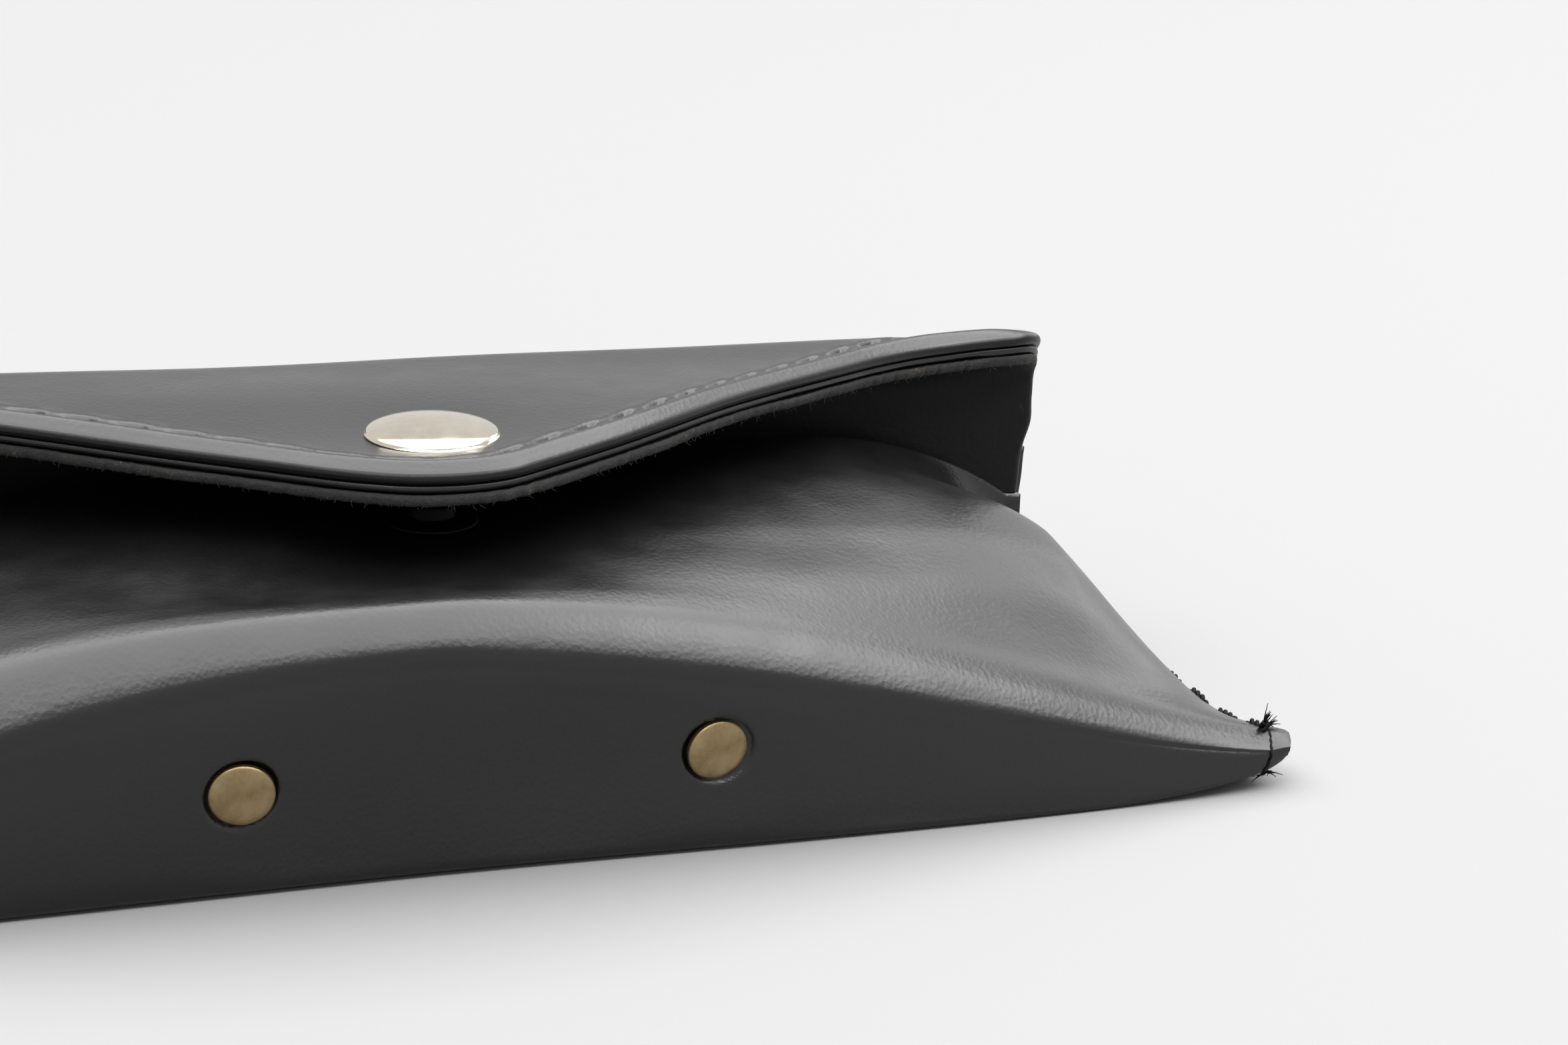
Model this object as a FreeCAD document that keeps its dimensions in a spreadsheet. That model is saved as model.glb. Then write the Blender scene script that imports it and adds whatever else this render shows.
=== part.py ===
import FreeCAD, Part
import math
import os
from FreeCAD import Vector, Rotation, Placement

# Soft leather pouch for a pair of glasses, lying on its back panel.
# X runs along the pouch, Y from the base panel (-) to the folded back edge (+), Z up.
# The origin is the middle of the footprint on the surface that the pouch lies on.

doc = FreeCAD.newDocument("soft_glasses_pouch")
sizes = doc.addObject("Spreadsheet::Sheet", "sizes")

DRIVING = [
    ("half_length", 80.0, "middle to the sewn tip of the pouch"),
    ("half_depth", 29.5, "middle to the base crease, and to the back wall"),
    ("leather", 1.8, "thickness of the body leather"),
    ("skin", 0.6, "thickness of the lining"),
    ("tip_lift", 2.2, "height of the seam tips above the surface"),
    ("lift_start", 58.0, "half length of the part that lies flat"),
    ("seam_reach", 78.0, "middle to where the panel meets the seam flange"),
    ("crease_peak", -7.0, "where along the pouch the base crease is highest"),
    ("lean", 0.153, "overhang of the base panel per height"),
    ("base_hollow", 1.6, "how far the base panel is drawn in at its middle"),
    ("tip_draw", 3.7, "how far the base tips stand back from the middle"),
    ("back_radius", 7.5, "outer bend where the back panel turns up"),
    ("wall_width", 148.0, "width of the back wall and of the flap at its fold"),
    ("wall_top", 27.9, "height of the back wall"),
    ("hinge_height", 28.2, "height where the flap starts to fold"),
    ("mouth_middle", 14.0, "mouth edge at the middle of the pouch"),
    ("mouth_half", 71.0, "half width of the mouth"),
    ("flap_top", 34.7, "height of the closed flap"),
    ("flap_tip", -14.8, "front of the flap's tip"),
    ("flap_tip_radius", 12.0, "rounding of the flap's tip"),
    ("flap_angle", 34.0, "slant of the flap's edges, degrees"),
    ("flap_ogee_radius", 40.0, "hollow curve where the edge runs out to the fold"),
    ("flap_ogee_angle", 6.0, "slant of the edge at the fold, degrees"),
    ("flap_straight", 52.0, "length of each slanted edge"),
    ("fold_radius", 6.5, "outer radius of the fold"),
    ("flap_leather_thick", 1.5, "outer leather of the flap"),
    ("flap_core_thick", 0.9, "stiffener between the flap's leathers"),
    ("flap_lining_thick", 1.1, "lining leather of the flap"),
    ("stitch_inset", 3.4, "stitch line to the flap's edge"),
    ("stitch_pitch", 5.2, "from one stitch to the next"),
    ("stitch_length", 3.6, "visible length of one stitch"),
    ("thread_radius", 0.4, "radius of the thread"),
    ("snap_line", -2.5, "middle to the snap, across the pouch"),
    ("cap_radius", 6.25, "rim of the snap's cap"),
    ("cap_rim", 0.6, "height of the cap's rim"),
    ("cap_dome", 1.0, "rise of the cap's dome"),
    ("post_radius", 1.6, "posts through the leather"),
    ("socket_radius", 5.4, "outside of the socket"),
    ("socket_drop", 2.8, "height of the socket under the flap"),
    ("socket_plate", 0.6, "plate that the post is crimped to"),
    ("socket_bore", 2.9, "radius that takes the stud"),
    ("spring_ring", 3.12, "middle radius of the spring ring"),
    ("spring_wire", 0.3, "radius of the spring wire"),
    ("stud_flange", 5.2, "radius of the stud's flange"),
    ("stud_flange_thick", 0.8, "thickness of the stud's flange"),
    ("stud_seat", 27.0, "height of the stud's seat in the front panel"),
    ("stud_knob", 2.5, "radius of the stud's knob"),
    ("stud_knob_top", 29.9, "height of the top of the knob"),
    ("eyelet_seat", 24.2, "height of the eyelet's seat inside the front panel"),
    ("eyelet_radius", 4.8, "radius of the eyelet's flange"),
    ("eyelet_thick", 0.7, "thickness of the eyelet's flange"),
    ("stiffener_thick", 1.2, "thickness of the base stiffener"),
    ("stiffener_half", 62.0, "half length of the base stiffener"),
    ("rivet_line", 22.0, "half the distance between the two rivets"),
    ("rivet_shift", -1.3, "how far the pair of rivets is off the middle"),
    ("rivet_height", 10.0, "height of the rivets"),
    ("rivet_yaw", 6.0, "turn of each rivet towards the middle, degrees"),
    ("rivet_radius", 3.0, "radius of a rivet's head"),
    ("rivet_head", 0.8, "height of a rivet's head"),
    ("rivet_bevel", 0.3, "bevel round the head"),
    ("rivet_shank", 1.3, "radius of a rivet's shank"),
    ("rivet_sunk", 0.3, "how far a rivet's head is pressed into the leather"),
    ("rivet_clench", 0.9, "length of shank that stands out of the stiffener"),
    ("burr_radius", 2.7, "radius of a rivet's burr"),
]
for row, (alias, number, meaning) in enumerate(DRIVING, start=1):
    sizes.set(f"A{row}", meaning)
    sizes.set(f"B{row}", str(number))
    sizes.setAlias(f"B{row}", alias)
doc.recompute()


def size(alias):
    return float(sizes.get(alias))


def bind(item, **formulas):
    """Bind properties of an object to formulas over the sheet; __ stands for a dot."""
    for name, formula in formulas.items():
        item.setExpression(name.replace("__", "."), formula)
    return item


def add(kind, name, **formulas):
    return bind(doc.addObject(kind, name), **formulas)


def solid_of(shape):
    """The single solid that a boolean leaves, without its compound."""
    solids = sorted(shape.Solids, key=lambda one: one.Volume)
    return solids[-1]


# ---------------------------------------------------------------- body leather
# One hide, folded round: front panel, base panel, back panel and back wall. The closed form is
# lofted through cross-sections along X, hollowed by a smaller form, and opened at the mouth.

# Lines that run along the front panel: share of the depth, height at the middle, and how
# sharply the height falls towards the left and the right tip.
PANEL_LINES = [
    (0.0, 22.2, 2.2, 1.25),
    (0.22, 25.5, 2.8, 2.2),
    (0.375, 26.9, 3.6, 3.3),
    (0.565, 27.3, 4.6, 4.4),
    (0.76, 28.2, 6.0, 6.0),
    (1.0, 28.8, 6.0, 6.0),
]
SEAM_THICK = 2 * size("leather")
EMBED = 1.0
STATIONS = [0.0, 24.0, 44.0, 60.0, 70.0, 75.0, 78.0, 80.0]
CAVITY_STATIONS = [0.0, 24.0, 44.0, 60.0, 70.0]
CAVITY_END = 76.1


def both_sides(stations):
    return [-x for x in reversed(stations) if x > 0] + list(stations)


def underside(x):
    """Height of the back panel: flat in the middle, lifted at the tips."""
    rise = max(0.0, abs(x) - size("lift_start")) / (size("half_length") - size("lift_start"))
    return size("tip_lift") * rise ** 2


def back_end(x):
    """How far back the pouch reaches: straight, with rounded ends."""
    straight = size("wall_width") / 2
    share = max(0.0, abs(x) - straight) / (size("half_length") - straight)
    back = size("half_depth") - EMBED
    return back - (back - 2.0) * share ** 2


def crease_line(x):
    share = abs(x) / size("half_length")
    return -size("half_depth") + size("tip_draw") * share ** 3


def panel_height(x, crown, left_power, right_power, peak):
    seam_top = size("tip_lift") + SEAM_THICK
    reach = size("seam_reach") + (peak if x < peak else -peak)
    share = min(1.0, abs(x - peak) / reach)
    power = left_power if x < peak else right_power
    return seam_top + (crown - seam_top) * (1.0 - share ** power)


def panel_points(x, inset):
    """Points of the front panel from the base crease to the back, let in by the wall."""
    front = crease_line(x)
    back = back_end(x)
    points = []
    for share, crown, left_power, right_power in PANEL_LINES:
        peak = size("crease_peak") * (1.0 - min(1.0, share / 0.375))
        height = panel_height(x, crown, left_power, right_power, peak)
        points.append(Vector(x, front + share * (back - front), height - 1.2 * inset))
    return points


def base_points(x, inset):
    """Bottom edge, drawn-in middle and crease of the base panel."""
    crease = panel_points(x, 0.0)[0]
    low = underside(x)
    bottom_y = crease.y + size("lean") * (crease.z - low)
    hollow = size("base_hollow") * math.exp(-(x / 32.0) ** 2)
    bottom = Vector(x, bottom_y + inset, low + inset - EMBED * (inset == 0.0))
    half_way = (low + crease.z - 0.2 * inset) / 2
    middle = Vector(x, (bottom_y + crease.y) / 2 + hollow + inset, half_way)
    top = Vector(x, crease.y + inset, crease.z - 1.2 * inset)
    return [bottom, middle, top]


def through(points):
    curve = Part.BSplineCurve()
    curve.interpolate(points)
    return curve.toShape()


def section(x, inset):
    base = base_points(x, inset)
    panel = panel_points(x, inset)
    panel[0] = base[-1]
    low_back = Vector(x, panel[-1].y, base[0].z)
    return Part.Wire([
        through(base),
        through(panel),
        Part.makeLine(panel[-1], low_back),
        Part.makeLine(low_back, base[0]),
    ])


def back_stock(inset):
    """Block whose lower back edge has the bend of the back panel; it trims a form to it."""
    back = size("half_depth") - inset
    low = inset
    radius = size("back_radius") - inset
    reach = size("half_length") + 5.0
    front = -size("half_depth") - 5.0
    roof = 60.0
    corners = [
        Vector(-reach, front, low), Vector(-reach, back - radius, low),
        Vector(-reach, back, low + radius), Vector(-reach, back, roof), Vector(-reach, front, roof),
    ]
    slant = radius * math.sqrt(0.5)
    bend = Vector(-reach, back - radius + slant, low + radius - slant)
    profile = Part.Wire([
        Part.makeLine(corners[0], corners[1]),
        Part.Arc(corners[1], bend, corners[2]).toShape(),
        Part.makeLine(corners[2], corners[3]),
        Part.makeLine(corners[3], corners[4]),
        Part.makeLine(corners[4], corners[0]),
    ])
    return Part.Face(profile).extrude(Vector(2 * reach, 0, 0))


def cavity(inset):
    """The hollow of the pouch, let in by the given wall."""
    stations = both_sides(CAVITY_STATIONS + [CAVITY_END - inset])
    form = Part.makeLoft([section(x, inset) for x in stations], True, False)
    return form.common(back_stock(inset))


def mouth_cutter(margin):
    """Prism over the mouth, from its curved front edge to the back wall."""
    middle = size("mouth_middle")
    half = size("mouth_half")
    back = size("half_depth") - size("leather") - margin
    low = 9.0
    edge = [(-half, back), (-0.88 * half, 22.0), (-0.66 * half, 18.2), (0.0, middle),
            (0.66 * half, 18.2), (0.88 * half, 22.0), (half, back)]
    points = [Vector(x, y, low) for x, y in edge]
    outline = Part.Wire([through(points), Part.makeLine(points[-1], points[0])])
    return Part.Face(outline).extrude(Vector(0, 0, 40.0))


def stitch_bar(start, end):
    """One stitch: a short round bar with round ends."""
    radius = size("thread_radius")
    along = end - start
    bar = Part.makeCylinder(radius, along.Length, start, along)
    bar = bar.fuse(Part.makeSphere(radius, start)).fuse(Part.makeSphere(radius, end))
    return solid_of(bar)


def side_stitches(side):
    """Stitches down the sewn flange at one end, half sunk in its upper face."""
    bars = []
    half = size("stitch_length") / 2
    line = size("seam_reach") + 0.4
    count = 7
    first = -21.0
    for index in range(count):
        middle = first + index * size("stitch_pitch")
        ends = []
        for y in (middle - half, middle + half):
            height = size("tip_lift") + SEAM_THICK + 0.1
            ends.append(Vector(side * line, y, height))
        bars.append(stitch_bar(ends[0], ends[1]))
    return Part.makeCompound(bars)


def rivet_frame(side):
    """Place on the base panel's outer face at one rivet, with the head's axis as local Z."""
    x = side * size("rivet_line") + size("rivet_shift")
    base = base_points(x, 0.0)
    share = size("rivet_height") / base[2].z
    y = base[0].y + (base[2].y - base[0].y) * share + size("base_hollow") * math.exp(-(x / 32.0) ** 2)
    tilt = math.degrees(math.atan(size("lean")))
    face = Rotation(Vector(1, 0, 0), 90.0 + tilt)
    turn = Rotation(Vector(0, 0, 1), -side * size("rivet_yaw"))
    return Placement(Vector(x, y, size("rivet_height")), turn.multiply(face))


def rivet_hole(side, radius, top, depth):
    """Round cutter on a rivet's axis, reaching from top above the face down by depth."""
    cutter = Part.makeCylinder(radius, depth, Vector(0, 0, top - depth))
    cutter.Placement = rivet_frame(side)
    return cutter


snap_point = Vector(0, size("snap_line"), 0)


def snap_hole(radius, low, high):
    return Part.makeCylinder(radius, high - low, Vector(snap_point.x, snap_point.y, low))


outer = Part.makeLoft([section(x, 0.0) for x in both_sides(STATIONS)], True, False)
wall_width = size("wall_width")
wall = Part.makeBox(wall_width, size("leather"), size("wall_top"),
                    Vector(-wall_width / 2, size("half_depth") - size("leather"), 0))
outer = solid_of(outer.fuse(wall).common(back_stock(0.0)))
above_wall = Part.makeBox(wall_width, 5.0, 10.0,
                          Vector(-wall_width / 2, size("half_depth") - size("leather"),
                                 size("wall_top")))
shell = outer.cut(cavity(size("leather"))).cut(mouth_cutter(0.0)).cut(above_wall)
for side in (-1, 1):
    shell = shell.cut(rivet_hole(side, size("rivet_shank"), 5.0, 15.0))
    shell = shell.cut(rivet_hole(side, size("rivet_radius"), 5.0, 5.0 + size("rivet_sunk")))
    shell = shell.cut(side_stitches(side))
shell = shell.cut(snap_hole(size("post_radius"), 20.0, 40.0))
shell = shell.cut(snap_hole(size("stud_flange"), size("stud_seat"), 40.0))
body_leather = doc.addObject("Part::Feature", "body_leather")
body_leather.Shape = solid_of(shell)

# ---------------------------------------------------------------- body lining
# Thin suede glued to the inside of the body leather, up to the mouth's edge.
lined = size("leather") + size("skin")
lining_shape = cavity(size("leather")).cut(cavity(lined)).cut(mouth_cutter(size("skin")))
wall_skin_low = 20.0
wall_skin_half = 56.0
wall_skin = Part.makeBox(2 * wall_skin_half, size("skin"), size("wall_top") - wall_skin_low,
                         Vector(-wall_skin_half, size("half_depth") - lined, wall_skin_low))
lining_shape = lining_shape.fuse(wall_skin)
for side in (-1, 1):
    lining_shape = lining_shape.cut(rivet_hole(side, size("rivet_shank"), 5.0, 15.0))
lining_shape = lining_shape.cut(snap_hole(size("post_radius"), 15.0, 40.0))
lining_shape = lining_shape.cut(snap_hole(size("eyelet_radius"), 15.0, size("eyelet_seat")))
body_lining = doc.addObject("Part::Feature", "body_lining")
body_lining.Shape = solid_of(lining_shape)


# ---------------------------------------------------------------- base stiffener
# Leaf-shaped strip of stiff board inside the base panel; the two rivets hold it.
def stiffener_section(x):
    base = base_points(x, lined)
    step = Vector(0, size("stiffener_thick"), 0)
    gap = Vector(0, 0.05, 0)
    low = base[0] + (base[1] - base[0]) * 0.25 + gap
    high = base[1] + (base[2] - base[1]) * 0.7 + gap
    middle = base[1] + gap
    return Part.Wire([
        through([low, middle, high]),
        Part.makeLine(high, high + step),
        through([high + step, middle + step, low + step]),
        Part.makeLine(low + step, low),
    ])


half = size("stiffener_half")
stiffener_stations = both_sides([0.0, 0.35 * half, 0.7 * half, half])
board = Part.makeLoft([stiffener_section(x) for x in stiffener_stations], True, False)
board = board.cut(body_lining.Shape)
for side in (-1, 1):
    board = board.cut(rivet_hole(side, size("rivet_shank"), 5.0, 15.0))
base_stiffener = doc.addObject("Part::Feature", "base_stiffener")
base_stiffener.Shape = solid_of(board)


# ---------------------------------------------------------------- rivets
# Brass rivets through the base panel, lining and stiffener: a flat bevelled head outside,
# and a burr pressed over the shank inside.
STACK = "sizes.leather + sizes.skin + sizes.stiffener_thick + sizes.rivet_sunk"


def rivet(side, name):
    rim = add("Part::Cylinder", name + "_rim", Radius="sizes.rivet_radius",
              Height="sizes.rivet_head - sizes.rivet_bevel",
              Placement__Base__z="-sizes.rivet_sunk")
    bevel = add("Part::Cone", name + "_bevel", Radius1="sizes.rivet_radius",
                Radius2="sizes.rivet_radius - sizes.rivet_bevel", Height="sizes.rivet_bevel",
                Placement__Base__z="sizes.rivet_head - sizes.rivet_bevel - sizes.rivet_sunk")
    shank = add("Part::Cylinder", name + "_shank", Radius="sizes.rivet_shank",
                Height=STACK + " + sizes.rivet_clench - sizes.rivet_sunk",
                Placement__Base__z="-(" + STACK + ") - sizes.rivet_clench")
    head = add("Part::MultiFuse", name)
    head.Shapes = [rim, bevel, shank]
    head.Placement = rivet_frame(side)
    return head


def burr(side, name):
    disc = add("Part::Cylinder", name + "_disc", Radius="sizes.burr_radius",
               Height="sizes.rivet_head",
               Placement__Base__z="-(" + STACK + ") - sizes.rivet_head")
    hole = add("Part::Cylinder", name + "_hole", Radius="sizes.rivet_shank", Height="12",
               Placement__Base__z="-12")
    ring = add("Part::Cut", name)
    ring.Base = disc
    ring.Tool = hole
    ring.Placement = rivet_frame(side)
    return ring


rivets = [rivet(-1, "rivet_left"), rivet(1, "rivet_right")]
burrs = [burr(-1, "rivet_burr_left"), burr(1, "rivet_burr_right")]

# ---------------------------------------------------------------- side seam threads
# Waxed thread that sews front and back panel together down each end.
threads = []
for side, name in ((-1, "side_thread_left"), (1, "side_thread_right")):
    thread = doc.addObject("Part::Feature", name)
    thread.Shape = side_stitches(side)
    threads.append(thread)


# ---------------------------------------------------------------- flap
# Three layers that follow one outline: outer leather, stiffening core and lining leather.
# Each layer is a flat sheet with a quarter-round fold at its back.
def flap_outline():
    """Half outline from the tip to the fold as curves, mirrored, and closed behind the fold."""
    tip_y = size("flap_tip")
    tip_radius = size("flap_tip_radius")
    slant = math.radians(size("flap_angle"))
    ogee = size("flap_ogee_radius")
    flat = math.radians(size("flap_ogee_angle"))
    tip = Vector(0, tip_y, 0)
    tip_end = Vector(tip_radius * math.sin(slant), tip_y + tip_radius * (1 - math.cos(slant)), 0)
    run = Vector(math.cos(slant), math.sin(slant), 0) * size("flap_straight")
    edge_end = tip_end + run
    centre = edge_end + Vector(math.sin(slant), -math.cos(slant), 0) * ogee
    turn = (slant + flat) / 2
    ogee_middle = centre + Vector(-math.sin(turn), math.cos(turn), 0) * ogee
    ogee_end = centre + Vector(-math.sin(flat), math.cos(flat), 0) * ogee
    half_width = size("wall_width") / 2
    corner = ogee_end + Vector(1, math.tan(flat), 0) * (half_width - ogee_end.x)
    behind = Vector(half_width, size("half_depth") + 5.0, 0)
    return tip, tip_end, edge_end, ogee_middle, ogee_end, corner, behind


def mirrored(point):
    return Vector(-point.x, point.y, point.z)


tip, tip_end, edge_end, ogee_middle, ogee_end, corner, behind = flap_outline()
outline = doc.addObject("Sketcher::SketchObject", "flap_outline")
outline.addGeometry([
    Part.Arc(mirrored(tip_end), tip, tip_end),
    Part.LineSegment(tip_end, edge_end),
    Part.Arc(edge_end, ogee_middle, ogee_end),
    Part.LineSegment(ogee_end, corner),
    Part.LineSegment(corner, behind),
    Part.LineSegment(behind, mirrored(behind)),
    Part.LineSegment(mirrored(behind), mirrored(corner)),
    Part.LineSegment(mirrored(corner), mirrored(ogee_end)),
    Part.Arc(mirrored(ogee_end), mirrored(ogee_middle), mirrored(edge_end)),
    Part.LineSegment(mirrored(edge_end), mirrored(tip_end)),
], False)


def flap_layer(name, above, thick):
    """One layer: the sheet at its height plus its ring of the fold, cut to the outline."""
    sheet = add("Part::Box", name + "_sheet", Length="sizes.wall_width",
                Width="sizes.half_depth - sizes.fold_radius - sizes.flap_tip + 5",
                Height=f"{thick}",
                Placement__Base__x="-sizes.wall_width / 2",
                Placement__Base__y="sizes.flap_tip - 5",
                Placement__Base__z=f"sizes.flap_top - ({above}) - {thick}")
    rings = []
    for part, radius in (("_bend", f"sizes.fold_radius - ({above})"),
                         ("_bore", f"sizes.fold_radius - ({above}) - {thick}")):
        ring = add("Part::Cylinder", name + part, Radius=radius, Height="sizes.wall_width",
                   Angle="90")
        # the cylinder's own X turns to +Y and its Y to +Z, so that a quarter turn is the fold
        ring.Placement = Placement(
            Vector(-size("wall_width") / 2, size("half_depth") - size("fold_radius"),
                   size("hinge_height")),
            Rotation(Vector(0, 1, 0), Vector(0, 0, 1), Vector(1, 0, 0), "ZXY"))
        rings.append(ring)
    fold = add("Part::Cut", name + "_fold")
    fold.Base, fold.Tool = rings
    strip = add("Part::Fuse", name + "_strip")
    strip.Base = sheet
    strip.Tool = fold
    prism = add("Part::Extrusion", name + "_prism", LengthFwd="sizes.flap_top + 5")
    prism.Base = outline
    prism.DirMode = "Custom"
    prism.Dir = Vector(0, 0, 1)
    prism.Solid = True
    cut = add("Part::Common", name + "_cut")
    cut.Base = strip
    cut.Tool = prism
    hole = add("Part::Cylinder", name + "_hole", Radius="sizes.post_radius", Height="60",
               Placement__Base__y="sizes.snap_line")
    layer = add("Part::Cut", name)
    layer.Base = cut
    layer.Tool = hole
    return layer


def flap_stitches():
    """Stitches along the flap's edge, let in from it by the inset."""
    inset = size("stitch_inset")
    slant = math.radians(size("flap_angle"))
    inward = Vector(-math.sin(slant), math.cos(slant), 0) * inset
    radius = size("flap_tip_radius") - inset
    centre = Vector(0, size("flap_tip") + size("flap_tip_radius"), 0)
    height = Vector(0, 0, size("flap_top") - 0.1)
    arc_length = radius * slant
    pitch = size("stitch_pitch")
    half = size("stitch_length") / 2
    start = tip_end + inward
    along = Vector(math.cos(slant), math.sin(slant), 0)

    def point(travel):
        if travel < arc_length:
            angle = travel / radius
            return centre + Vector(math.sin(angle), -math.cos(angle), 0) * radius + height
        return start + along * (travel - arc_length) + height

    bars = []
    count = int((arc_length + size("flap_straight")) / pitch)
    for index in range(count):
        travel = (index + 0.5) * pitch
        ends = [point(travel - half), point(travel + half)]
        bars.append(stitch_bar(ends[0], ends[1]))
        bars.append(stitch_bar(mirrored(ends[0]), mirrored(ends[1])))
    return Part.makeCompound(bars)


flap_thread = doc.addObject("Part::Feature", "flap_thread")
flap_thread.Shape = flap_stitches()

leather_sheet = flap_layer("flap_leather_sheet", "0", "sizes.flap_leather_thick")
flap_leather = add("Part::Cut", "flap_leather")
flap_leather.Base = leather_sheet
flap_leather.Tool = flap_thread
flap_core = flap_layer("flap_core", "sizes.flap_leather_thick", "sizes.flap_core_thick")
flap_lining = flap_layer("flap_lining", "sizes.flap_leather_thick + sizes.flap_core_thick",
                         "sizes.flap_lining_thick")

# ---------------------------------------------------------------- snap fastener
# Press snap: a domed cap and its post through the flap, the socket and spring ring under it,
# and the stud with its eyelet in the front panel.
FLAP_UNDER = "(sizes.flap_top - sizes.flap_leather_thick - sizes.flap_core_thick" \
             " - sizes.flap_lining_thick)"


def turned(name, radius, low, high):
    """Round piece on the snap's axis, from low to high."""
    return add("Part::Cylinder", name, Radius=radius, Height=f"({high}) - ({low})",
               Placement__Base__y="sizes.snap_line", Placement__Base__z=low)


cap_rim = turned("cap_rim", "sizes.cap_radius", "sizes.flap_top",
                 "sizes.flap_top + sizes.cap_rim")
ball_radius = (size("cap_radius") ** 2 + size("cap_dome") ** 2) / (2 * size("cap_dome"))
dome_ball = add("Part::Sphere", "cap_dome_ball",
                Radius="(sizes.cap_radius^2 + sizes.cap_dome^2) / (2 * sizes.cap_dome)",
                Placement__Base__y="sizes.snap_line",
                Placement__Base__z="sizes.flap_top + sizes.cap_rim + sizes.cap_dome"
                                   " - (sizes.cap_radius^2 + sizes.cap_dome^2)"
                                   " / (2 * sizes.cap_dome)")
dome_block = turned("cap_dome_block", "sizes.cap_radius", "sizes.flap_top + sizes.cap_rim",
                    "sizes.flap_top + sizes.cap_rim + 5")
dome = add("Part::Common", "cap_dome_cut")
dome.Base = dome_ball
dome.Tool = dome_block
cap_post = turned("cap_post", "sizes.post_radius", FLAP_UNDER + " - sizes.socket_plate",
                  "sizes.flap_top")
snap_cap = add("Part::MultiFuse", "snap_cap")
snap_cap.Shapes = [cap_rim, dome, cap_post]

socket_outside = turned("socket_outside", "sizes.socket_radius",
                        FLAP_UNDER + " - sizes.socket_drop", FLAP_UNDER)
socket_hole = turned("socket_hole", "sizes.post_radius", FLAP_UNDER + " - 5",
                     FLAP_UNDER + " + 1")
socket_bore = turned("socket_bore_cut", "sizes.socket_bore", FLAP_UNDER + " - 5",
                     FLAP_UNDER + " - sizes.socket_plate")
spring_height = FLAP_UNDER + " - sizes.socket_drop / 2 - 0.3"
groove = add("Part::Torus", "spring_groove", Radius1="sizes.spring_ring",
             Radius2="sizes.spring_wire + 0.03", Placement__Base__y="sizes.snap_line",
             Placement__Base__z=spring_height)
socket_cutters = add("Part::MultiFuse", "socket_cutters")
socket_cutters.Shapes = [socket_hole, socket_bore, groove]
snap_socket = add("Part::Cut", "snap_socket")
snap_socket.Base = socket_outside
snap_socket.Tool = socket_cutters

snap_spring = add("Part::Torus", "snap_spring", Radius1="sizes.spring_ring",
                  Radius2="sizes.spring_wire", Placement__Base__y="sizes.snap_line",
                  Placement__Base__z=spring_height)

stud_flange = turned("stud_flange", "sizes.stud_flange", "sizes.stud_seat",
                     "sizes.stud_seat + sizes.stud_flange_thick")
stud_knob = turned("stud_knob", "sizes.stud_knob", "sizes.stud_seat", "sizes.stud_knob_top")
stud_shape = add("Part::MultiFuse", "stud_solid")
stud_shape.Shapes = [stud_flange, stud_knob]
stud_bore = turned("stud_bore", "sizes.post_radius", "sizes.stud_seat - 1",
                   "sizes.stud_seat + 1.5")
snap_stud = add("Part::Cut", "snap_stud")
snap_stud.Base = stud_shape
snap_stud.Tool = stud_bore

eyelet_flange = turned("eyelet_flange", "sizes.eyelet_radius",
                       "sizes.eyelet_seat - sizes.eyelet_thick", "sizes.eyelet_seat")
eyelet_barrel = turned("eyelet_barrel", "sizes.post_radius",
                       "sizes.eyelet_seat - sizes.eyelet_thick", "sizes.stud_seat + 1.5")
snap_eyelet = add("Part::MultiFuse", "snap_eyelet")
snap_eyelet.Shapes = [eyelet_flange, eyelet_barrel]

# ---------------------------------------------------------------- check and write
NODES = {
    "body_leather": body_leather, "body_lining": body_lining, "base_stiffener": base_stiffener,
    "rivet_left": rivets[0], "rivet_right": rivets[1],
    "rivet_burr_left": burrs[0], "rivet_burr_right": burrs[1],
    "side_thread_left": threads[0], "side_thread_right": threads[1],
    "snap_stud": snap_stud, "snap_eyelet": snap_eyelet,
    "flap_leather": flap_leather, "flap_core": flap_core, "flap_lining": flap_lining,
    "flap_thread": flap_thread, "snap_cap": snap_cap, "snap_socket": snap_socket,
    "snap_spring": snap_spring,
}
for name, item in NODES.items():
    item.Label = name
doc.recompute()

for item in doc.Objects:
    if {"Invalid", "Error"} & set(item.State):
        raise RuntimeError(f"{item.Label} could not be built: {item.State}")
for name, item in NODES.items():
    if item.Shape.isNull() or not item.Shape.isValid():
        raise RuntimeError(f"{name} has no valid shape")

os.makedirs("parts", exist_ok=True)
for name, item in NODES.items():
    item.Shape.exportStep(f"parts/{name}.step")
    box = item.Shape.BoundBox
    print(f"{name:20s} solids {len(item.Shape.Solids):3d} volume {item.Shape.Volume:9.1f}"
          f"  x {box.XMin:7.2f} {box.XMax:7.2f}  y {box.YMin:7.2f} {box.YMax:7.2f}"
          f"  z {box.ZMin:6.2f} {box.ZMax:6.2f}")
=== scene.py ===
import math
import random

import bpy
import numpy as np
from mathutils import Matrix, Vector


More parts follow.
